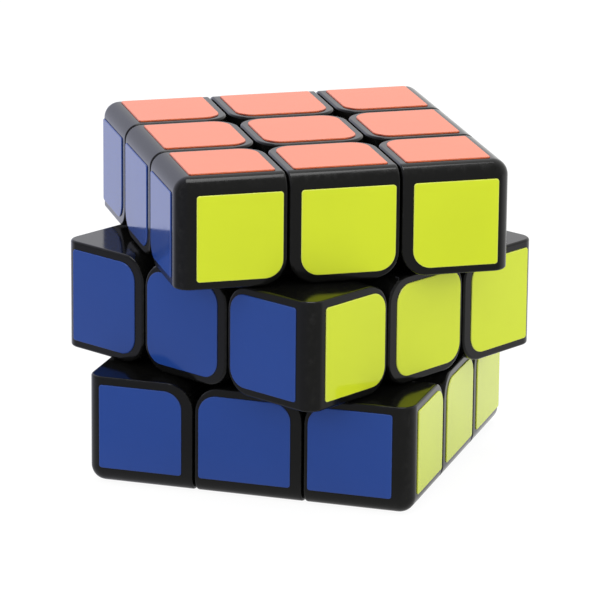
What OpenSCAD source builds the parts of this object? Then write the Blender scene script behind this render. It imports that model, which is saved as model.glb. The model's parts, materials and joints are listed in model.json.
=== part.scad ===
// Twisty puzzle cube, 3 x 3 x 3, with its upper and lower layers part-turned.
// The origin is under the middle of the cube, at the height of the surface it stands on.
// +Z is up. The middle layer is square to the axes: its yellow side faces +X (right)
// and its blue side faces -Y (front). Every inner surface that slides on another is part
// of a sphere about the cube's middle, so each layer can turn about its own axis.

/* [Cube] */
// Width of the cube over its stickers
cube_w = 57; // [56:0.5:60]
// Gap between neighbouring pieces
seam = 0.3; // [0.2:0.05:0.4]
// Turn of the upper layer from the middle one, in degrees
upper_turn = -33.5; // [-45:0.1:45]
// Turn of the lower layer from the middle one, in degrees
lower_turn = 24.2; // [-45:0.1:45]

/* [Shells] */
// Radius along the outer edges of the cube
outer_r = 2.7; // [1.8:0.1:3]
// Radius of a piece's corner where four pieces meet on a side
crossing_r = 4.5; // [4:0.1:5.5]
// Wall thickness of the hollow shells
wall = 1.5; // [1.2:0.1:2]

/* [Stickers] */
// Thickness of a sticker
sticker_t = 0.2; // [0.1:0.05:0.3]
// Width of the sticker on the middle piece of a side
sticker_w = 16; // [15:0.1:16.4]
// Margin from the cube's outer edge to the nearest sticker
sticker_margin = 3; // [2.6:0.1:3.6]
// Radius of a sticker's corner where four pieces meet
sticker_crossing_r = 3.1; // [2.8:0.1:4]
// Radius of a sticker's other corners
sticker_r = 0.5; // [0.3:0.1:1.5]
// How far the yellow and blue stickers are set sideways, away from the edge between them
sticker_shift = 0.6; // [0:0.1:0.7]

/* [Mechanism] */
// Radius of the sphere that holds the feet under their neighbours
track_r = 22; // [21.5:0.1:22.5]
// Radius of the hollow inside the feet
foot_inner_r = 16.5; // [15:0.1:17]
// Thickness of the plate that closes a shell on its inner side
plate_t = 1.5; // [1.2:0.1:2]
// Radius of the ball in the middle of the core
core_ball_r = 7.5; // [6.5:0.1:9]
// Distance from the middle of the cube to the end of a core arm
arm_end = 12; // [11:0.1:12.5]
// Radius of a core screw's shank
screw_r = 1.2; // [1:0.05:1.3]
// Distance from the middle of the cube to the underside of a screw's head
head_seat = 19.5; // [19:0.1:20]

/* [Hidden] */
SIDES = ["right", "back", "left", "front"];
CORNERS = ["back_right", "back_left", "front_left", "front_right"];
SIDE_COLOURS = ["yellow", "green", "white", "blue"];
FACES = ["right", "back", "left", "front", "upper", "lower"];
LAYERS = ["upper", "lower"];
$fn = 64;

RGB = ["#dcec3a", "#2f8f4e", "#e9e9e4", "#2f4a8f", "#f4835f", "#c22f34"];
BLACK = "#1d1d1c";
half_w = cube_w / 2;
half = half_w - sticker_t;          // from the middle to the outer plastic
pitch = cube_w / 3;                 // from one piece to the next
near = pitch / 2 + seam / 2;        // where an outer piece begins
mid = pitch / 2 - seam / 2;         // half the width of a middle piece
slip = seam / 2;                    // clearance on each side of the track sphere
foot_near = 5.5;                    // planes that part the feet from the hubs
hub_r = foot_near - seam;
bore_r = 3.5;                       // bore of a hub, for the screw's head and spring
shelf_top = 14.5;                   // where the spring stands in the hub
head_r = 3;
head_t = 1.6;
washer_t = 0.5;
fit = 0.05;                         // radial clearance of a screw in its bores

// A rectangle from lo to hi. r holds its corner radii, anticlockwise from lo.
module rounded_rect(lo, hi, r) {
    corners = [lo, [hi.x, lo.y], hi, [lo.x, hi.y]];
    inward = [[1, 1], [-1, 1], [-1, -1], [1, -1]];
    difference() {
        translate(lo) square(hi - lo);
        for (i = [0:3]) if (r[i] > 0)
            translate(corners[i] + [min(0, inward[i].x), min(0, inward[i].y)] * r[i]) square(r[i]);
    }
    for (i = [0:3]) if (r[i] > 0)
        translate(corners[i] + inward[i] * r[i]) circle(r[i]);
}

// A box from lo to hi, rounded as seen along each axis
module rounded_block(lo, hi, along_x, along_y, along_z) {
    intersection() {
        translate([0, 0, lo.z]) linear_extrude(hi.z - lo.z)
            rounded_rect([lo.x, lo.y], [hi.x, hi.y], along_z);
        translate([lo.x, 0, 0]) rotate([90, 0, 90]) linear_extrude(hi.x - lo.x)
            rounded_rect([lo.y, lo.z], [hi.y, hi.z], along_x);
        translate([0, hi.y, 0]) rotate([90, 0, 0]) linear_extrude(hi.y - lo.y)
            rounded_rect([lo.x, lo.z], [hi.x, hi.z], along_y);
    }
}

// The three kinds of block, each drawn smaller all over by inset:
// a corner at +X +Y +Z, an edge at +X +Y and a centre at +Z
module corner_block(inset = 0) {
    lo = [1, 1, 1] * (near + inset);
    hi = [1, 1, 1] * (half - inset);
    r = [crossing_r - inset, 0, outer_r - inset, 0];
    rounded_block(lo, hi, r, r, r);
}
module edge_block(inset = 0) {
    lo = [near, near, -mid] + [1, 1, 1] * inset;
    hi = [half, half, mid] - [1, 1, 1] * inset;
    r = crossing_r - inset;
    rounded_block(lo, hi, [r, 0, 0, r], [r, 0, 0, r], [0, 0, outer_r - inset, 0]);
}
module centre_block(inset = 0) {
    lo = [-mid, -mid, arm_end] + [1, 1, 0] * inset;
    hi = [mid, mid, half] - [1, 1, 1] * inset;
    r = crossing_r - inset;
    rounded_block(lo, hi, [0, 0, 0, 0], [0, 0, 0, 0], [r, r, r, r]);
}

// What lies between two spheres about the middle of the cube
module between_spheres(inner, outer) {
    difference() {
        intersection() {
            children();
            sphere(outer);
        }
        sphere(inner);
    }
}
// Children 0 and 1 are a block and the same block inset: the hollow shell outside the plate
module hollow_shell() {
    difference() {
        children(0);
        children(1);
        sphere(track_r + slip + plate_t);
    }
}

// Pieces, each about the middle of the cube
module corner_shell() hollow_shell() { corner_block(); corner_block(wall); }
module edge_shell() hollow_shell() { edge_block(); edge_block(wall); }
module centre_cap() hollow_shell() { centre_block(); centre_block(wall); }

// A foot is a plate under its shell, a stem through the track and a toe under the neighbours
module corner_foot() {
    toe = foot_near + slip;
    between_spheres(track_r + slip, track_r + slip + plate_t) corner_block();
    between_spheres(foot_inner_r, track_r + 2 * slip) corner_block();
    between_spheres(foot_inner_r, track_r - slip) translate([toe, toe, toe]) cube(track_r);
}
module edge_foot() {
    toe = foot_near + slip;
    tall = foot_near - slip;
    between_spheres(track_r + slip, track_r + slip + plate_t) edge_block();
    between_spheres(foot_inner_r, track_r + 2 * slip) intersection() {
        edge_block();
        translate([0, 0, -tall]) cube([track_r, track_r, 2 * tall]);
    }
    between_spheres(foot_inner_r, track_r - slip)
        translate([toe, toe, -tall]) cube([track_r, track_r, 2 * tall]);
}
module centre_hub() {
    difference() {
        union() {
            between_spheres(track_r + slip, track_r + slip + plate_t) centre_block();
            intersection() {
                translate([0, 0, arm_end + seam]) cylinder(r = hub_r, h = track_r);
                sphere(track_r + slip + plate_t);
            }
        }
        translate([0, 0, shelf_top]) cylinder(r = bore_r, h = track_r);
        cylinder(r = screw_r + fit, h = track_r);
    }
}

// The core and what fastens a hub to it, each along +Z
module core_body() {
    difference() {
        union() {
            sphere(core_ball_r);
            for (f = FACES) to_face(f) cylinder(r = 4.2, h = arm_end);
        }
        for (f = FACES) to_face(f) translate([0, 0, core_ball_r - 2])
            cylinder(r = screw_r + fit, h = arm_end);
    }
}
module core_screw() {
    slot_w = 0.8;
    slot_l = 3.2;
    difference() {
        union() {
            translate([0, 0, core_ball_r - 1.5]) cylinder(r = screw_r, h = head_seat - core_ball_r + 1.5);
            translate([0, 0, head_seat]) cylinder(r = head_r, h = head_t);
        }
        for (turn = [0, 90]) rotate(turn)
            translate([-slot_l / 2, -slot_w / 2, head_seat + head_t / 2]) cube([slot_l, slot_w, head_t]);
    }
}
module washer() {
    translate([0, 0, head_seat - washer_t]) linear_extrude(washer_t) difference() {
        circle(head_r + 0.2);
        circle(screw_r + fit);
    }
}
// A round wire wound about the screw, between the hub's shelf and the washer
module tension_spring() {
    wire_r = 0.32;
    coil_r = 2.4;
    turns = 4.5;
    per_turn = 12;
    sides = 6;
    z0 = shelf_top + wire_r + fit;
    rise = head_seat - washer_t - shelf_top - 2 * (wire_r + fit);
    rings = turns * per_turn;
    points = [for (i = [0:rings], j = [0:sides - 1])
        let (a = 360 * i / per_turn, b = 360 * j / sides, r = coil_r + wire_r * cos(b))
        [r * cos(a), r * sin(a), z0 + rise * i / rings + wire_r * sin(b)]];
    skin = [for (i = [0:rings - 1], j = [0:sides - 1])
        let (k = i * sides, n = (j + 1) % sides) each
        [[k + j, k + n, k + sides + n], [k + j, k + sides + n, k + sides + j]]];
    ends = [[for (j = [sides - 1:-1:0]) j], [for (j = [0:sides - 1]) rings * sides + j]];
    polyhedron(points, concat(skin, ends));
}

// Stickers on the +Z side. The base pieces are the corner at +X +Y and the edge at +Y.
sticker_near = pitch - sticker_w / 2;
sticker_far = half_w - sticker_margin;
module sticker(lo, hi, r) translate([0, 0, half]) linear_extrude(sticker_t) rounded_rect(lo, hi, r);
module corner_sticker() {
    r = sticker_r;
    sticker([1, 1] * sticker_near, [1, 1] * sticker_far, [sticker_crossing_r, r, r, r]);
}
module edge_sticker() {
    big = sticker_crossing_r;
    sticker([-sticker_w / 2, sticker_near], [sticker_w / 2, sticker_far], [big, big, sticker_r, sticker_r]);
}
module centre_sticker() {
    big = sticker_crossing_r;
    sticker([-1, -1] * sticker_w / 2, [1, 1] * sticker_w / 2, [big, big, big, big]);
}

// The stickers of face k, moved sideways on the yellow and blue sides only
module set_sideways(k) {
    translate([k == 0 ? sticker_shift : k == 3 ? -sticker_shift : 0, 0, 0]) children();
}

// Turn +Z to one of the six faces
module to_face(f) {
    k = search([f], FACES)[0];
    if (k < 4) rotate([0, 0, 90 * k]) rotate([90, 0, 90]) children();
    else if (f == "upper") children();
    else rotate([180, 0, 0]) children();
}
// Each layer's own pieces are drawn as the upper layer's, about the middle of the cube
module middle_layer() translate([0, 0, half_w]) children();
module outer_layer(layer) {
    translate([0, 0, half_w]) {
        if (layer == "upper") rotate(upper_turn) children();
        else rotate(lower_turn) mirror([0, 0, 1]) children();
    }
}
module face_frame(f) {
    translate([0, 0, half_w]) rotate(f == "upper" ? upper_turn : f == "lower" ? lower_turn : 0)
        to_face(f) children();
}
// The edge and corner at +X +Y turned to quarter k of a layer, from the back right on
module quarter(k) rotate(90 * k) children();
// The edge at +X +Y stood over side k of the upper layer
module over_side(k) rotate(90 * (k - 1)) rotate([90, 0, 90]) children();

// Nodes of the middle layer
module core() color(BLACK) middle_layer() core_body();
module core_screws() color("silver") middle_layer() for (f = FACES) to_face(f) core_screw();
module screw_washers() color("silver") middle_layer() for (f = FACES) to_face(f) washer();
module tension_springs() color("silver") middle_layer() for (f = FACES) to_face(f) tension_spring();
module middle_edge_feet() color(BLACK) middle_layer() for (k = [0:3]) quarter(k) edge_foot();
module middle_edge_shell(k) color(BLACK) middle_layer() quarter(k) edge_shell();
module middle_stickers(k) color(RGB[k]) middle_layer() to_face(SIDES[k]) set_sideways(k)
    for (turn = [-90, 90]) rotate(turn) edge_sticker();

// Nodes of the upper and lower layers
module layer_feet(layer) color(BLACK) outer_layer(layer) for (k = [0:3]) {
    quarter(k) corner_foot();
    over_side(k) edge_foot();
}
module layer_corner_shell(layer, k) color(BLACK) outer_layer(layer) quarter(k) corner_shell();
module layer_edge_shell(layer, k) color(BLACK) outer_layer(layer) over_side(k) edge_shell();
module layer_face_stickers(layer) color(RGB[layer == "upper" ? 4 : 5]) outer_layer(layer)
    for (k = [0:3]) quarter(k) {
        corner_sticker();
        edge_sticker();
    }
module layer_side_stickers(layer, k) color(RGB[k]) outer_layer(layer)
    to_face(SIDES[k]) set_sideways(k) {
        edge_sticker();
        for (turn = [0, 90]) rotate(turn) corner_sticker();
    }

core();
core_screws();
screw_washers();
tension_springs();
middle_edge_feet();
for (k = [0:3]) {
    middle_edge_shell(k);
    middle_stickers(k);
}
for (layer = LAYERS) {
    layer_feet(layer);
    layer_face_stickers(layer);
    for (k = [0:3]) {
        layer_corner_shell(layer, k);
        layer_edge_shell(layer, k);
        layer_side_stickers(layer, k);
    }
}
for (i = [0:5]) {
    f = FACES[i];
    color(BLACK) face_frame(f) centre_hub();
    color(BLACK) face_frame(f) centre_cap();
    color(RGB[i]) face_frame(f)
        set_sideways(i) centre_sticker();
}
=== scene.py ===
"""Looks for a twisty puzzle cube whose upper and lower layers stand part-turned.

The shells and stickers are modelled here, in place of the plain CAD ones. The mechanism inside
is the CAD's own, with its springs wound more finely. Lengths are in metres, in the CAD's frame.
"""

import json
import math

import bmesh
import bpy
from mathutils import Matrix, Vector


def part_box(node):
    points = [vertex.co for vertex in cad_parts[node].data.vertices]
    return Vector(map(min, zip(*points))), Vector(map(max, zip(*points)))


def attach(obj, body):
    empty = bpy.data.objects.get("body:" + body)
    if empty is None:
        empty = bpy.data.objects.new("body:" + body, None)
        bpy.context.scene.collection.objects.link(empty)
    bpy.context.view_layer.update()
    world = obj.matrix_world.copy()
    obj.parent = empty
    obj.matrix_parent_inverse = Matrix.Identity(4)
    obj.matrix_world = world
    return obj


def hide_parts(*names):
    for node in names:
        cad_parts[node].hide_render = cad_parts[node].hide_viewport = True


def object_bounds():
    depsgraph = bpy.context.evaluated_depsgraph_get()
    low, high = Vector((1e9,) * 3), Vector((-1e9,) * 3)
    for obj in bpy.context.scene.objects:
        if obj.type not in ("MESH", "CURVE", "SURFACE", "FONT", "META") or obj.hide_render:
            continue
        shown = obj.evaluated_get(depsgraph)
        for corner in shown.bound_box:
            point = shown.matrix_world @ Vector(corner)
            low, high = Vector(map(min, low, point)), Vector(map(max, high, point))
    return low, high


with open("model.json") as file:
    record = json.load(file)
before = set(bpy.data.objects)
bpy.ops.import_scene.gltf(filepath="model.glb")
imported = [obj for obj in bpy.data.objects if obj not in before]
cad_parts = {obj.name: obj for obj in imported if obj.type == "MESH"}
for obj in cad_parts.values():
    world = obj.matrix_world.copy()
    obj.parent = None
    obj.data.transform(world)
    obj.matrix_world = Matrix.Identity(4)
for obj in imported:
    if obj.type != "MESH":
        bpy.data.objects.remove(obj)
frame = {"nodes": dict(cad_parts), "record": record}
cad_low, cad_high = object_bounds()

MM = 0.001

# ---------------------------------------------------------------- sizes read from the frame
CENTRE = (cad_low + cad_high) / 2
HALF_WIDTH = (cad_high.z - cad_low.z) / 2          # to the face of the stickers
PITCH = 2 * HALF_WIDTH / 3
sticker_low, sticker_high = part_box("right_centre_sticker")
STICKER_T = sticker_high.x - sticker_low.x
STICKER_W = sticker_high.y - sticker_low.y
HALF = HALF_WIDTH - STICKER_T                      # to the outer plastic
edge_low, edge_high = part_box("middle_back_right_edge_shell")
NEAR = edge_low.x                                  # where an outer piece begins
MID = (edge_high.z - edge_low.z) / 2               # half the width of a middle piece
side_low, side_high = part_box("middle_yellow_stickers")
STICKER_FAR = (side_high.y - side_low.y) / 2       # to the far edge of an outer sticker
STICKER_NEAR = PITCH - STICKER_W / 2
STICKER_SHIFT = (side_high.y + side_low.y) / 2     # the yellow and blue ones sit off-centre

# ---------------------------------------------------------------- shapes of the shells
CROSSING_R = 4.5 * MM       # corner of a piece where four pieces meet
OUTER_R = 2.7 * MM          # along the cube's outer edges
SEAM_R = 0.45 * MM          # along the seams between pieces
ARC_SEGMENTS = 10           # in a quarter turn of the corners above and of a sticker's
SEAM_SEGMENTS = 6
WALL = 1.5 * MM
PLATE_SPHERE = 23.65 * MM   # the sphere that the shells' inner sides follow
STICKER_CROSSING_R = 3.1 * MM
STICKER_R = 0.5 * MM
STICKER_EDGE = 0.15 * MM    # rolled edge of the film
ROLL_STEPS = 4
TOUCH = 1e-6                # a point this near to a plane lies on it
SHARP = math.radians(40)    # a steeper edge than this is not shaded smooth
WEAR_AND_EDGE_SHADE_GAIN = 3               # an edge counts in full once its normal leans by a third: as rubbed on the shells, and as the cut edge's tone on the stickers, painted shade where that tone is darker

# ---------------------------------------------------------------- shape of the springs
WIRE_R = 0.30 * MM
COIL_R = 2.4 * MM           # to the middle of the wire
SPRING_LENGTH = 4.3 * MM
SPRING_TURNS = 5.5
DEAD_TURNS = 0.75           # each end lies flat over this much of a turn
WIRE_SIDES = 10
STEPS_PER_TURN = 28

X, Y, Z = Vector((1, 0, 0)), Vector((0, 1, 0)), Vector((0, 0, 1))
NO_SHIFT = Vector((0, 0, 0))
AXIS_PAIRS = ((0, 1), (1, 2), (2, 0))
COLOUR_OF_SIDE = {(1, 0): "yellow", (0, 1): "green", (-1, 0): "white", (0, -1): "blue"}
SHIFT_OF_SIDE = {(1, 0): Y * STICKER_SHIFT, (0, -1): -X * STICKER_SHIFT}
WORD_X = {1: "right", -1: "left"}
WORD_Y = {1: "back", -1: "front"}
WORD_OF_SIDE = {(1, 0): "right", (0, 1): "back", (-1, 0): "left", (0, -1): "front"}
LAYER_WORD = {1: "upper", 0: "middle", -1: "lower"}


def layer_turn(node):
    """The angle by which a layer stands turned, from the way its yellow stickers face."""
    mesh = frame["nodes"][node].data
    low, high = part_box(node)
    outward = (low + high) / 2 - CENTRE
    facing = Vector((0, 0, 0))
    for polygon in mesh.polygons:
        if abs(polygon.normal.z) < 0.1:
            sign = 1 if polygon.normal.dot(outward) > 0 else -1
            facing += polygon.normal * polygon.area * sign
    return math.atan2(facing.y, facing.x)


TURN = {
    1: layer_turn("upper_yellow_stickers"),
    0: 0.0,
    -1: layer_turn("lower_yellow_stickers"),
}


# ---------------------------------------------------------------- mesh helpers
def new_object(name, mesh):
    thing = bpy.data.objects.new(name, mesh)
    bpy.context.scene.collection.objects.link(thing)
    return thing


def box_bmesh(low, high):
    bm = bmesh.new()
    bmesh.ops.create_cube(bm, size=1)
    size, middle = high - low, (high + low) / 2
    for v in bm.verts:
        v.co = Vector(c * s for c, s in zip(v.co, size)) + middle
    return bm


def bevel(bm, edges, radius, segments):
    bmesh.ops.bevel(bm, geom=list(edges), offset=radius, offset_type="OFFSET", segments=segments,
                    profile=0.5, affect="EDGES", clamp_overlap=False)


def edges_between(bm, on_first, on_second):
    """The edges whose ends both lie on both of two planes, given as tests of a point."""
    return [e for e in bm.edges if all(on_first(v.co) and on_second(v.co) for v in e.verts)]


def on(axis, value):
    return lambda co: abs(co[axis] - value) < TOUCH


def rim_edges(bm, keep_out):
    """Square edges outside the sphere keep_out, such as the rim of a rounded block."""
    square = math.radians(50)
    return [e for e in bm.edges if len(e.link_faces) == 2 and e.calc_face_angle(0) > square
            and max(v.co.length for v in e.verts) > keep_out]


def rounded_block(kind, inset):
    """A corner block at +X +Y +Z, an edge block at +X +Y or a centre block at +Z."""
    near, far, mid = NEAR + inset, HALF - inset, MID - inset
    low, high = {
        "corner": ((near, near, near), (far, far, far)),
        "edge": ((near, near, -mid), (far, far, mid)),
        "centre": ((-mid, -mid, NEAR), (mid, mid, far)),
    }[kind]
    bm = box_bmesh(Vector(low), Vector(high))
    ends = (-mid, mid)
    if kind == "corner":
        crossing = [edges_between(bm, on(a, near), on(b, near)) for a, b in AXIS_PAIRS]
    elif kind == "edge":
        crossing = [edges_between(bm, on(a, near), on(2, z)) for a in (0, 1) for z in ends]
    else:
        crossing = [edges_between(bm, on(0, x), on(1, y)) for x in ends for y in ends]
    bevel(bm, {e for group in crossing for e in group}, CROSSING_R - inset, ARC_SEGMENTS)
    if kind != "centre":
        outer = [e for e in bm.edges if any(
            all(on(a, far)(v.co) and on(b, far)(v.co) for v in e.verts) for a, b in AXIS_PAIRS)]
        bevel(bm, outer, OUTER_R - inset, ARC_SEGMENTS)
    return bm


def apply(thing, modifier):
    """Puts the result of an object's one modifier in place of its mesh."""
    evaluated = thing.evaluated_get(bpy.context.evaluated_depsgraph_get())
    mesh = bpy.data.meshes.new_from_object(evaluated)
    thing.modifiers.remove(modifier)
    old, thing.data = thing.data, mesh
    bpy.data.meshes.remove(old)


def cut(thing, cutter):
    """Takes one closed mesh out of another."""
    boolean = thing.modifiers.new("cut", "BOOLEAN")
    boolean.operation = "DIFFERENCE"
    boolean.solver = "EXACT"
    boolean.object = cutter
    apply(thing, boolean)


def mesh_of(bm, name):
    mesh = bpy.data.meshes.new(name)
    bm.normal_update()
    bm.to_mesh(mesh)
    bm.free()
    return mesh


def smooth_with_flat_sides(thing):
    """Smooth over the rounded edges, with the flat sides kept flat."""
    thing.data.shade_smooth()
    thing.data.set_sharp_from_angle(angle=SHARP)
    weighted = thing.modifiers.new("flat_sides", "WEIGHTED_NORMAL")
    weighted.keep_sharp = True
    weighted.weight = 100
    apply(thing, weighted)


def mark_wear_and_edge_shade(mesh, turn=0.0):
    """Stores how far each vertex leans off its flat side, from 0 on a flat side to 1 on a rounded
    edge, for the materials to read: the shells are rubbed there, and the stickers take their cut
    edge's tone there, which on the orange, white, green and red films is painted shade. The mesh
    stands turned by the angle turn about Z."""
    unturned = Matrix.Rotation(-turn, 3, "Z")
    wear_and_edge_shade = mesh.attributes.new("wear_and_edge_shade", "FLOAT", "POINT")
    for v in mesh.vertices:
        lean = 1 - max(abs(c) for c in unturned @ v.normal)
        wear_and_edge_shade.data[v.index].value = min(1, WEAR_AND_EDGE_SHADE_GAIN * lean)


def make_shell(kind):
    """The hollow shell of one kind of piece, as a mesh about the middle of the cube."""
    bm = rounded_block(kind, 0)
    bevel(bm, rim_edges(bm, PLATE_SPHERE - SEAM_R), SEAM_R, SEAM_SEGMENTS)
    thing = new_object("shell_blank", mesh_of(bm, kind + "_shell"))
    hollow = new_object("shell_hollow", mesh_of(rounded_block(kind, WALL), "hollow"))
    sphere = bmesh.new()
    bmesh.ops.create_uvsphere(sphere, u_segments=96, v_segments=48, radius=PLATE_SPHERE)
    ball = new_object("shell_ball", mesh_of(sphere, "ball"))
    cut(thing, ball)
    cut(thing, hollow)
    smooth_with_flat_sides(thing)
    mesh = thing.data
    mark_wear_and_edge_shade(mesh)
    for helper in (thing, hollow, ball):
        bpy.data.objects.remove(helper)
    return mesh


def arc_outline(low, high, radii):
    """The outline of a rectangle with rounded corners, anticlockwise from its lowest corner."""
    (left, bottom), (right, top) = low, high
    corners = [(left, bottom, 1, 1), (right, bottom, -1, 1),
               (right, top, -1, -1), (left, top, 1, -1)]
    points = []
    for i, ((cx, cy, sx, sy), r) in enumerate(zip(corners, radii)):
        start = math.pi + i * math.pi / 2
        for s in range(ARC_SEGMENTS + 1):
            a = start + s / ARC_SEGMENTS * math.pi / 2
            points.append((cx + sx * r + r * math.cos(a), cy + sy * r + r * math.sin(a)))
    return points


def add_sticker(bm, outline, place):
    """A thin film over an outline, its face to +Z of place and its edge slightly rounded."""
    rings = []
    roll = [(STICKER_T - STICKER_EDGE * (1 - math.sin(a)), STICKER_EDGE * (1 - math.cos(a)))
            for a in (math.pi / 2 * step / ROLL_STEPS for step in range(ROLL_STEPS + 1))]
    count = len(outline)
    for height, inset in [(0, 0)] + roll:
        ring = []
        for i, (x, y) in enumerate(outline):
            before, after = Vector(outline[i - 1]), Vector(outline[(i + 1) % count])
            ahead = (after - before).normalized()
            inward = Vector((-ahead.y, ahead.x)) * inset
            ring.append(bm.verts.new(place @ Vector((x + inward.x, y + inward.y, HALF + height))))
        rings.append(ring)
    for lower, upper in zip(rings, rings[1:]):
        for i in range(count):
            j = (i + 1) % count
            bm.faces.new((lower[i], lower[j], upper[j], upper[i]))
    bm.faces.new(rings[-1])
    bm.faces.new(list(reversed(rings[0])))


# ---------------------------------------------------------------- procedural materials
def nodes_of(name):
    """A new material, its node tree and its main shader."""
    material = bpy.data.materials.new(name)
    material.use_nodes = True
    tree = material.node_tree
    return material, tree, tree.nodes["Principled BSDF"]


def noise(tree, scale, detail=2.0, roughness=0.5, stretch=None):
    """Noise in the object's own space, its scale in cells a metre."""
    where = tree.nodes.new("ShaderNodeTexCoord")
    source = where.outputs["Object"]
    if stretch:
        mapping = tree.nodes.new("ShaderNodeMapping")
        mapping.inputs["Scale"].default_value = stretch
        tree.links.new(source, mapping.inputs["Vector"])
        source = mapping.outputs["Vector"]
    made = tree.nodes.new("ShaderNodeTexNoise")
    made.inputs["Scale"].default_value = scale
    made.inputs["Detail"].default_value = detail
    made.inputs["Roughness"].default_value = roughness
    tree.links.new(source, made.inputs["Vector"])
    return made.outputs["Fac"]


def mapped(tree, value, low, high, from_low=0.35, from_high=0.65):
    """low to high, as value goes from from_low to from_high. As a rule the value is noise."""
    made = tree.nodes.new("ShaderNodeMapRange")
    made.inputs["From Min"].default_value = from_low
    made.inputs["From Max"].default_value = from_high
    made.inputs["To Min"].default_value = low
    made.inputs["To Max"].default_value = high
    tree.links.new(value, made.inputs["Value"])
    return made.outputs["Result"]


def bump(tree, height, distance, strength, under=None):
    """A bump, which may lie over another, under."""
    made = tree.nodes.new("ShaderNodeBump")
    made.inputs["Distance"].default_value = distance
    made.inputs["Strength"].default_value = strength
    tree.links.new(height, made.inputs["Height"])
    if under:
        tree.links.new(under, made.inputs["Normal"])
    return made.outputs["Normal"]


def two_tone(tree, value, first, second):
    """first where value is 0 and second where it is 1. Each is a colour or an output."""
    made = tree.nodes.new("ShaderNodeMix")
    made.data_type = "RGBA"
    tree.links.new(value, made.inputs["Factor"])
    for tone, socket in ((first, "A"), (second, "B")):
        if isinstance(tone, tuple):
            made.inputs[socket].default_value = (*tone, 1)
        else:
            tree.links.new(tone, made.inputs[socket])
    return made.outputs["Result"]


def wear_and_edge_shade_of(tree):
    """How far a spot lies on an edge: 0 on the flat sides, up to 1 along the rounded edges, where
    the shells are rubbed and the stickers take their cut edge's tone, painted shade on the darker
    films.
    """
    made = tree.nodes.new("ShaderNodeAttribute")
    made.attribute_name = "wear_and_edge_shade"
    return made.outputs["Fac"]


def product(tree, first, second):
    made = tree.nodes.new("ShaderNodeMath")
    made.operation = "MULTIPLY"
    tree.links.new(first, made.inputs[0])
    tree.links.new(second, made.inputs[1])
    return made.outputs["Value"]


def scaled_sum(tree, value, scale, base):
    """value * scale + base, where scale is a number."""
    made = tree.nodes.new("ShaderNodeMath")
    made.operation = "MULTIPLY_ADD"
    made.inputs[1].default_value = scale
    tree.links.new(value, made.inputs[0])
    tree.links.new(base, made.inputs[2])
    return made.outputs["Value"]


def black_plastic(name, colour, rough, ior):
    """Moulded plastic: faint flow marks and fine grain, with scuffs where the edges are rubbed."""
    material, tree, shader = nodes_of(name)
    shader.inputs["IOR"].default_value = ior
    scuffs = product(tree, mapped(tree, noise(tree, 900, 4, 0.6), 0, 1, 0.45, 0.7), wear_and_edge_shade_of(tree))
    paler = tuple(c * 2.2 + 0.003 for c in colour)
    tree.links.new(two_tone(tree, scuffs, colour, paler), shader.inputs["Base Color"])
    flow = mapped(tree, noise(tree, 160, 4), rough * 0.85, rough * 1.2)
    tree.links.new(scaled_sum(tree, scuffs, 0.12, flow), shader.inputs["Roughness"])
    wave = bump(tree, noise(tree, 240, 2), 0.02 * MM, 0.18)
    grain = bump(tree, noise(tree, 5200, 2), 0.004 * MM, 0.3, wave)
    tree.links.new(grain, shader.inputs["Normal"])
    return material


def vinyl(name, colour, rim, rough=0.09, ior=1.45):
    """Glossy film: an even colour, a slight orange peel and faint rubbed patches. The cut edge has
    its own colour, rim: where rim is darker than the film, as on the orange, white, green and red
    films, it is painted shade along the edge, as of a contact shadow against the plastic."""
    material, tree, shader = nodes_of(name)
    shader.inputs["IOR"].default_value = ior
    cloud = mapped(tree, noise(tree, 60, 3), 0, 1)
    worn_and_shaded_edge = wear_and_edge_shade_of(tree)
    film = two_tone(tree, cloud, colour, tuple(c * 0.955 for c in colour))
    # the edge takes the colour rim, which is painted shade where it is darker than the film
    tree.links.new(two_tone(tree, worn_and_shaded_edge, film, rim), shader.inputs["Base Color"])
    gloss = mapped(tree, noise(tree, 300, 4, 0.6), rough * 0.75, rough * 1.5)
    tree.links.new(scaled_sum(tree, worn_and_shaded_edge, 0.15, gloss), shader.inputs["Roughness"])
    peel = bump(tree, noise(tree, 170, 1), 0.03 * MM, 0.12)
    grain = bump(tree, noise(tree, 2600, 1), 0.003 * MM, 0.25, peel)
    tree.links.new(grain, shader.inputs["Normal"])
    return material


def metal(name, colour, rough, grain):
    """Plated or drawn steel with fine grain along one direction."""
    material, tree, shader = nodes_of(name)
    shader.inputs["Metallic"].default_value = 1
    cloud = mapped(tree, noise(tree, 400, 3), 0, 1)
    darker = tuple(c * 0.82 for c in colour)
    tree.links.new(two_tone(tree, cloud, colour, darker), shader.inputs["Base Color"])
    streaks = mapped(tree, noise(tree, 900, 3, 0.6, grain), rough * 0.7, rough * 1.4)
    tree.links.new(streaks, shader.inputs["Roughness"])
    drawn = bump(tree, noise(tree, 2500, 2, 0.5, grain), 0.006 * MM, 0.4)
    tree.links.new(drawn, shader.inputs["Normal"])
    return material


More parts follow.
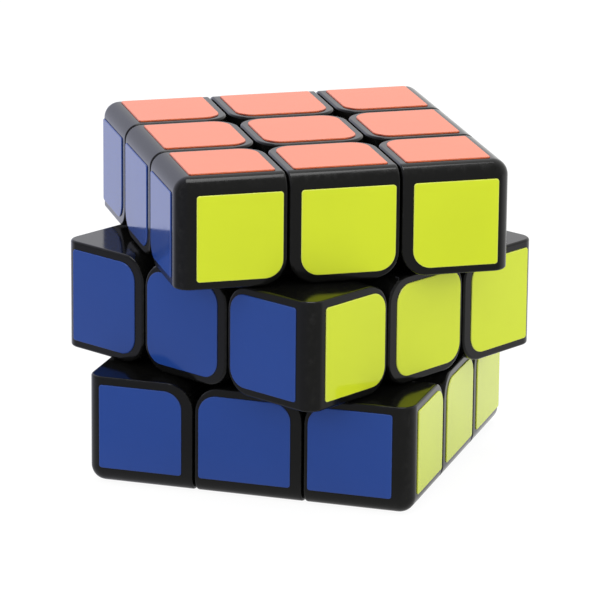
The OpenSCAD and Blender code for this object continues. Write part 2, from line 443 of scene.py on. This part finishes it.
MATERIALS = {
    "black_plastic": black_plastic("gloss_black_plastic", (0.0045, 0.0045, 0.0042), 0.12, 1.36),
    "inner_plastic": black_plastic("satin_black_plastic", (0.006, 0.006, 0.006), 0.28, 1.40),
    "zinc_steel": metal("zinc_plated_steel", (0.62, 0.63, 0.66), 0.30, (1, 1, 6)),
    "spring_steel": metal("spring_wire", (0.50, 0.51, 0.53), 0.24, (6, 6, 1)),
    # The second colour of each film is its cut edge: paler on the yellow and blue films, and
    # darker on the others, where it is painted shade along the edge.
    "sticker_yellow": vinyl("yellow_film", (0.66, 0.765, 0.024), (0.76, 0.81, 0.20)),
    "sticker_blue": vinyl("blue_film", (0.0145, 0.056, 0.278), (0.040, 0.080, 0.30)),
    "sticker_orange": vinyl("orange_film", (0.88, 0.182, 0.060), (0.16, 0.030, 0.025)),
    "sticker_white": vinyl("white_film", (0.80, 0.80, 0.77), (0.60, 0.60, 0.58)),
    "sticker_green": vinyl("green_film", (0.018, 0.26, 0.075), (0.030, 0.20, 0.07)),
    "sticker_red": vinyl("red_film", (0.55, 0.020, 0.022), (0.22, 0.015, 0.016)),
}
SLOT_OF = {row["node"]: row["material_slot"] for row in frame["record"]["subparts"]}
BODIES = frame["record"]["behaviour"]["bodies"]
BODY_OF = {node: body for body, nodes in BODIES.items() for node in nodes}


def dress(thing, slot):
    """Gives a piece the material of a record's slot."""
    thing.data.materials.clear()
    thing.data.materials.append(MATERIALS[slot])


def stand_for(thing, node):
    """A piece made here takes a CAD node's place, body and slot."""
    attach(thing, BODY_OF[node])
    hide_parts(node)
    dress(thing, SLOT_OF[node])


# ---------------------------------------------------------------- the twenty-six pieces
def place_of(layer, u, v, shift=NO_SHIFT):
    """The matrix that takes local X, Y and Z to u, v and their cross product in a layer."""
    columns = Matrix((u, v, u.cross(v))).transposed().to_4x4()
    turned = Matrix.Translation(CENTRE) @ Matrix.Rotation(TURN[layer], 4, "Z")
    return turned @ Matrix.Translation(shift) @ columns


def piece_of(x, y, z):
    """A piece's kind, shell node and outward directions, from its place on the 3 x 3 x 3 grid."""
    outward = [axis * s for axis, s in ((X, x), (Y, y), (Z, z)) if s]
    sides = "_".join(([WORD_Y[y]] if y else []) + ([WORD_X[x]] if x else []))
    if len(outward) == 1:
        face = sides if sides else LAYER_WORD[z]
        return "centre", face + "_centre_cap", outward
    kind = "edge" if len(outward) == 2 else "corner"
    return kind, f"{LAYER_WORD[z]}_{sides}_{kind}_shell", outward


def sticker_node(x, y, z, normal):
    """The CAD node that a sticker belongs to."""
    flat = (round(normal.x), round(normal.y))
    if abs(x) + abs(y) + abs(z) == 1:
        return WORD_OF_SIDE.get(flat, LAYER_WORD[z]) + "_centre_sticker"
    if flat == (0, 0):
        return LAYER_WORD[z] + "_face_stickers"
    return f"{LAYER_WORD[z]}_{COLOUR_OF_SIDE[flat]}_stickers"


def sticker_shape(others, normal):
    """The outline of a sticker and its two directions, from where its piece lies on its side."""
    half, near, far = STICKER_W / 2, STICKER_NEAR, STICKER_FAR
    big, small = STICKER_CROSSING_R, STICKER_R
    if len(others) == 2:
        first, second = others if others[0].cross(others[1]).dot(normal) > 0 else reversed(others)
        return arc_outline((near, near), (far, far), (big, small, small, small)), first, second
    if len(others) == 1:
        first = others[0].cross(normal)
        return arc_outline((-half, near), (half, far), (big, big, small, small)), first, others[0]
    first = X if abs(normal.x) < 0.5 else Y
    return arc_outline((-half, -half), (half, half), (big,) * 4), first, normal.cross(first)


def make_pieces():
    """All the shells and stickers. The stickers of one CAD node make one mesh."""
    shells = {kind: make_shell(kind) for kind in ("corner", "edge", "centre")}
    stickers = {}
    steps = (-1, 0, 1)
    grid = [(x, y, z) for z in steps for y in steps for x in steps if (x, y, z) != (0, 0, 0)]
    for x, y, z in grid:
        kind, node, outward = piece_of(x, y, z)
        if kind == "corner" and outward[0].cross(outward[1]).dot(outward[2]) < 0:
            outward = [outward[1], outward[0], outward[2]]
        if kind == "centre":
            first = X if abs(outward[0].x) < 0.5 else Y
            directions = (first, outward[0].cross(first))
        else:
            directions = (outward[0], outward[1])
        mesh = shells[kind].copy()
        mesh.transform(place_of(z, *directions))
        stand_for(new_object(node + "_skin", mesh), node)
        for normal in outward:
            outline, first, second = sticker_shape([d for d in outward if d != normal], normal)
            shift = SHIFT_OF_SIDE.get((round(normal.x), round(normal.y)), NO_SHIFT)
            films = sticker_node(x, y, z, normal)
            if films not in stickers:
                stickers[films] = (z, bmesh.new())
            add_sticker(stickers[films][1], outline, place_of(z, first, second, shift))
    for node, (layer, bm) in stickers.items():
        film = new_object(node + "_film", mesh_of(bm, node))
        smooth_with_flat_sides(film)
        # on the stickers this mask places the cut edge's tone, painted shade where that tone is
        # darker than the film
        mark_wear_and_edge_shade(film.data, TURN[layer])
        stand_for(film, node)


# ---------------------------------------------------------------- the mechanism inside
def make_springs():
    """Six round wires, each wound about its screw with closed ends."""
    outer_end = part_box("tension_springs")[1].z - CENTRE.z
    start, climb = outer_end - SPRING_LENGTH + WIRE_R, SPRING_LENGTH - 2 * WIRE_R
    dead = DEAD_TURNS / SPRING_TURNS
    total = int(SPRING_TURNS * STEPS_PER_TURN)
    bm = bmesh.new()
    for normal in (X, -X, Y, -Y, Z, -Z):
        first = Y if abs(normal.x) > 0.5 else X
        axes = Matrix((first, normal.cross(first), normal)).transposed().to_4x4()
        place = Matrix.Translation(CENTRE) @ axes
        rings = []
        for i in range(total + 1):
            share = i / total
            rise = min(1, max(0, (share - dead) / (1 - 2 * dead)))
            a = 2 * math.pi * SPRING_TURNS * share
            height = start + climb * rise
            ring = []
            for j in range(WIRE_SIDES):
                b = 2 * math.pi * j / WIRE_SIDES
                r = COIL_R + WIRE_R * math.cos(b)
                point = Vector((r * math.cos(a), r * math.sin(a), height + WIRE_R * math.sin(b)))
                ring.append(bm.verts.new(place @ point))
            rings.append(ring)
        for one, two in zip(rings, rings[1:]):
            for j in range(WIRE_SIDES):
                k = (j + 1) % WIRE_SIDES
                bm.faces.new((one[j], two[j], two[k], one[k]))
        bm.faces.new(rings[0])
        bm.faces.new(list(reversed(rings[-1])))
    bmesh.ops.recalc_face_normals(bm, faces=bm.faces)
    springs = new_object("tension_springs_wound", mesh_of(bm, "tension_springs"))
    springs.data.shade_smooth()
    springs.data.set_sharp_from_angle(angle=SHARP)
    stand_for(springs, "tension_springs")


# ---------------------------------------------------------------- camera, light and floor
VIEW_AZIMUTH = math.radians(42.24)    # from straight ahead of the blue side towards the yellow one
VIEW_ELEVATION = math.radians(16.22)
VIEW_DISTANCE = 0.7535
AIM_PITCH = math.radians(16.34)       # the camera aims just under the middle of the cube
AIM_ROLL = math.radians(0.51)
LENS = 265.7                          # millimetres, on a 36 mm sensor
TOWARDS_CAMERA = Vector((math.sin(VIEW_AZIMUTH), -math.cos(VIEW_AZIMUTH), 0))
TO_THE_RIGHT = Z.cross(TOWARDS_CAMERA)
DIM_SIDE = Matrix.Rotation(math.radians(-10), 3, "Z") @ TOWARDS_CAMERA
AMBIENT = 0.80                        # light from all round on matt surfaces
BACKDROP = 1.05                       # the studio as the camera sees it
BACK_GLOSS, FRONT_GLOSS = 1.0, 0.42   # what glossy surfaces mirror behind and before the cube
TWICE_MIRRORED = 0.4                  # how much of that is left the second time
WHITE = (1.0, 1.0, 1.0)
COOL = (0.93, 0.95, 1.14)             # tint of what is mirrored from the left

# where the mirrored light changes, along DIM_SIDE and TO_THE_RIGHT: for the studio by direction,
# and for the floor in metres from the middle
STUDIO_DIMS, STUDIO_COOLS = (-0.6, 0.3), (-0.35, 0.1)
FLOOR_DIMS, FLOOR_COOLS = (-0.035, 0.05), (-0.1, 0.0)

FLOOR_GAP = 0.05 * MM                 # so that the floor does not lie in the lowest stickers
FLOOR_GLOW, FLOOR_MATT = 0.93, 0.12   # the pale floor as the camera sees it, and its shadows
FLOOR_GREY = 0.6                      # what the floor gives back to the cube
TOUCHING = (0.1 * MM, 0.3 * MM)       # rays shorter than this come from what touches the floor


def make_camera():
    """A camera that looks at the cube from the corner between its yellow and blue sides."""
    data = bpy.data.cameras.new("camera")
    data.sensor_width = 36
    data.lens = LENS
    data.clip_start, data.clip_end = 0.01, 50
    camera = new_object("camera", data)
    back = TOWARDS_CAMERA * math.cos(AIM_PITCH) + Z * math.sin(AIM_PITCH)
    right = Z.cross(back).normalized()
    up = back.cross(right)
    turned_right = right * math.cos(AIM_ROLL) + up * math.sin(AIM_ROLL)
    turned_up = up * math.cos(AIM_ROLL) - right * math.sin(AIM_ROLL)
    place = Matrix((turned_right, turned_up, back)).transposed().to_4x4()
    out = TOWARDS_CAMERA * math.cos(VIEW_ELEVATION) + Z * math.sin(VIEW_ELEVATION)
    place.translation = CENTRE + out * VIEW_DISTANCE
    camera.matrix_world = place
    bpy.context.scene.camera = camera


def either(tree, factor, first, second):
    """first where factor is 0 and second where it is 1, for two numbers or two shaders."""
    if hasattr(second, "type") and second.type == "SHADER":
        made = tree.nodes.new("ShaderNodeMixShader")
        ends, result = (made.inputs[1], made.inputs[2]), made.outputs["Shader"]
        tree.links.new(factor, made.inputs["Fac"])
    else:
        made = tree.nodes.new("ShaderNodeMix")
        made.data_type = "FLOAT"
        ends, result = (made.inputs["A"], made.inputs["B"]), made.outputs["Result"]
        tree.links.new(factor, made.inputs["Factor"])
    for value, socket in zip((first, second), ends):
        if isinstance(value, (int, float)):
            socket.default_value = value
        else:
            tree.links.new(value, socket)
    return result


def along(tree, source, direction):
    """How far a vector reaches along a fixed direction."""
    made = tree.nodes.new("ShaderNodeVectorMath")
    made.operation = "DOT_PRODUCT"
    made.inputs[1].default_value = direction
    tree.links.new(source, made.inputs[0])
    return made.outputs["Value"]


def mirrored_light(tree, ray, where, dims, cools):
    """Strength and tint of what glossy surfaces mirror. It is bright behind the object and dim
    before it, cool to the left, and dimmer again when it is mirrored twice, between the layers."""
    strength = mapped(tree, along(tree, where, DIM_SIDE), BACK_GLOSS, FRONT_GLOSS, *dims)
    once = mapped(tree, ray.outputs["Glossy Depth"], 1, TWICE_MIRRORED, 1, 2)
    cool = mapped(tree, along(tree, where, TO_THE_RIGHT), 1, 0, *cools)
    return product(tree, strength, once), two_tone(tree, cool, WHITE, COOL)


def make_world():
    """A white studio."""
    world = bpy.data.worlds.new("studio")
    bpy.context.scene.world = world
    world.use_nodes = True
    tree = world.node_tree
    tree.nodes.clear()
    ray = tree.nodes.new("ShaderNodeLightPath")
    direction = tree.nodes.new("ShaderNodeTexCoord").outputs["Generated"]
    strength, tint = mirrored_light(tree, ray, direction, STUDIO_DIMS, STUDIO_COOLS)
    mirrored = tree.nodes.new("ShaderNodeBackground")
    tree.links.new(tint, mirrored.inputs["Color"])
    tree.links.new(strength, mirrored.inputs["Strength"])
    plain = tree.nodes.new("ShaderNodeBackground")
    plain.inputs["Color"].default_value = (*WHITE, 1)
    plain_strength = either(tree, ray.outputs["Is Camera Ray"], AMBIENT, BACKDROP)
    tree.links.new(plain_strength, plain.inputs["Strength"])
    output = tree.nodes.new("ShaderNodeOutputWorld")
    tree.links.new(either(tree, ray.outputs["Is Glossy Ray"], plain.outputs["Background"],
                          mirrored.outputs["Background"]), output.inputs["Surface"])


def softbox(name, azimuth, elevation, distance, size, radiance, mirrored=True):
    """A square area light that faces the cube. The azimuth, in degrees like the elevation, is
    from the camera's, to its right."""
    data = bpy.data.lights.new(name, "AREA")
    data.shape = "SQUARE"
    data.size = size
    data.energy = radiance * math.pi * size ** 2
    lamp = new_object(name, data)
    lamp.visible_glossy = mirrored
    around = Matrix.Rotation(math.radians(azimuth), 3, "Z") @ TOWARDS_CAMERA
    rise = math.radians(elevation)
    out = around * math.cos(rise) + Z * math.sin(rise)
    lamp.location = CENTRE + out * distance
    lamp.rotation_euler = (-out).to_track_quat("-Z", "Y").to_euler()


def make_floor():
    """A plain pale floor just under the cube. It is clear from below, to show the underside."""
    bm = bmesh.new()
    bmesh.ops.create_grid(bm, x_segments=1, y_segments=1, size=3)
    floor = new_object("floor", mesh_of(bm, "floor"))
    floor.location = (0, 0, cad_low.z - FLOOR_GAP)
    material, tree, shader = nodes_of("pale_floor")
    shader.inputs["Base Color"].default_value = (FLOOR_GREY, FLOOR_GREY, FLOOR_GREY, 1)
    shader.inputs["Roughness"].default_value = 0.7
    shader.inputs["Specular IOR Level"].default_value = 0
    ray = tree.nodes.new("ShaderNodeLightPath")
    where = tree.nodes.new("ShaderNodeTexCoord").outputs["Object"]
    strength, tint = mirrored_light(tree, ray, where, FLOOR_DIMS, FLOOR_COOLS)
    mirrored = tree.nodes.new("ShaderNodeEmission")
    tree.links.new(tint, mirrored.inputs["Color"])
    tree.links.new(strength, mirrored.inputs["Strength"])
    matt = tree.nodes.new("ShaderNodeBsdfDiffuse")
    matt.inputs["Color"].default_value = (FLOOR_MATT, FLOOR_MATT, FLOOR_MATT, 1)
    glow = tree.nodes.new("ShaderNodeEmission")
    glow.inputs["Strength"].default_value = FLOOR_GLOW
    pale = tree.nodes.new("ShaderNodeAddShader")
    tree.links.new(matt.outputs["BSDF"], pale.inputs[0])
    tree.links.new(glow.outputs["Emission"], pale.inputs[1])
    touching = mapped(tree, ray.outputs["Ray Length"], 1, 0, *TOUCHING)
    open_light = tree.nodes.new("ShaderNodeEmission")   # for the underside, as if it were lifted
    open_light.inputs["Strength"].default_value = AMBIENT
    matt_lit = either(tree, touching, shader.outputs["BSDF"], open_light.outputs["Emission"])
    lit = either(tree, ray.outputs["Is Glossy Ray"], matt_lit, mirrored.outputs["Emission"])
    seen = either(tree, ray.outputs["Is Camera Ray"], lit, pale.outputs["Shader"])
    below = tree.nodes.new("ShaderNodeNewGeometry").outputs["Backfacing"]
    clear = tree.nodes.new("ShaderNodeBsdfTransparent").outputs["BSDF"]
    surface = tree.nodes["Material Output"].inputs["Surface"]
    tree.links.new(either(tree, below, seen, clear), surface)
    floor.data.materials.append(material)


make_camera()
make_world()
softbox("softbox_top", azimuth=180, elevation=84, distance=1.2, size=0.6, radiance=4)
for side, azimuth in (("left", -50), ("right", 60)):
    softbox("softbox_" + side, azimuth, elevation=12, distance=1.0, size=0.8, radiance=1.7,
            mirrored=False)
make_floor()
bpy.context.scene.view_settings.view_transform = "Standard"

make_pieces()
make_springs()
for node, thing in frame["nodes"].items():
    if not thing.hide_render:
        dress(thing, SLOT_OF[node])
